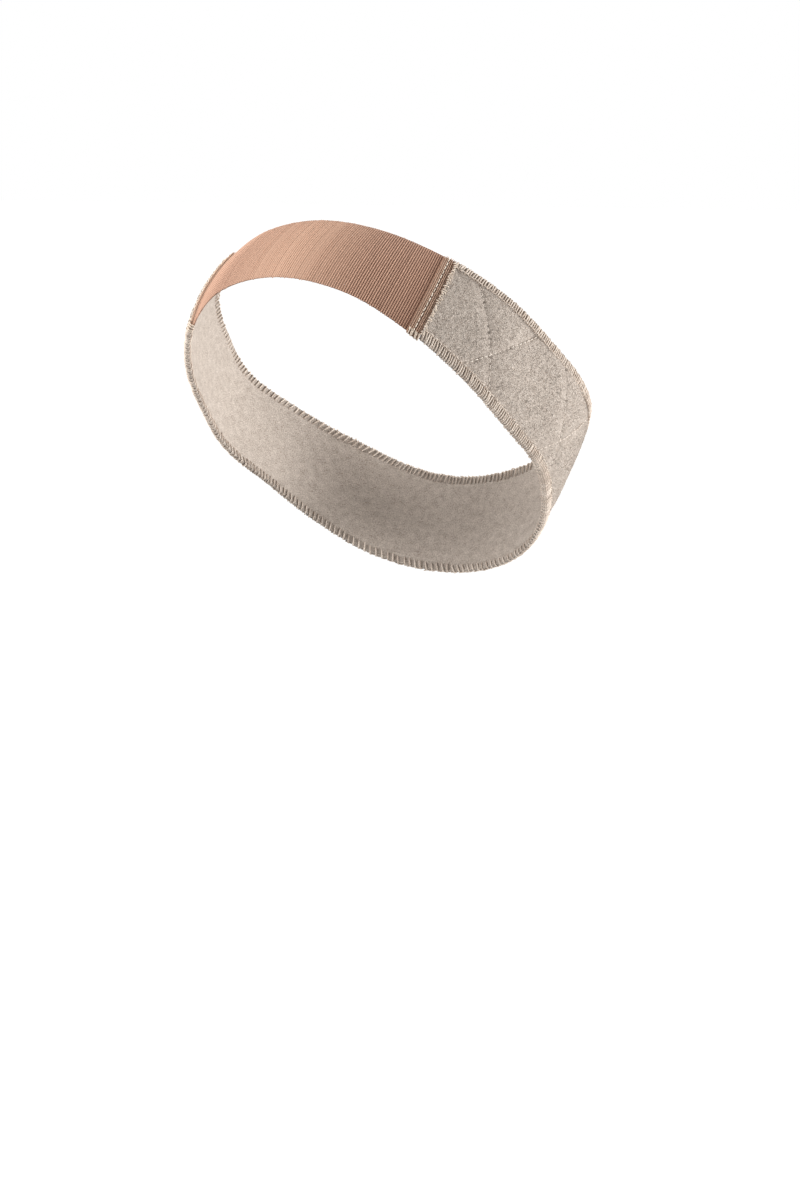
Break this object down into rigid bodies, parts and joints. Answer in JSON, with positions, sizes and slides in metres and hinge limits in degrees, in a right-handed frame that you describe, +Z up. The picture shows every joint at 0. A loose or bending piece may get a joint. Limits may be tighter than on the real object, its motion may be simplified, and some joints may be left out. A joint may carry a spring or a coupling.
{
  "type": "wig grip band",
  "caption": "Worn wig grip band: ribbed lace panel in front, stitched seam strips, quilted velvet loop with overlocked edges.",
  "frame": {"origin": "middle of the loop, inside the head that wears it", "axes": "+Z up and -Y forward as the wearer stands, +X to the wearer's left; the loop tilts up in front as worn"},
  "size_m": [0.1748, 0.1472, 0.1565],
  "materials": {
    "lace": "matt ribbed mesh",
    "seam": "matt folded mesh",
    "velvet": "short velvet nap",
    "thread": "soft overlock thread"
  },
  "bodies": {
    "root": {"lace_panel": "lace", "seam_strip_left": "seam", "seam_strip_right": "seam", "velvet_band": "velvet", "overlock_upper": "thread", "overlock_lower": "thread"}
  },
  "joints": []
}
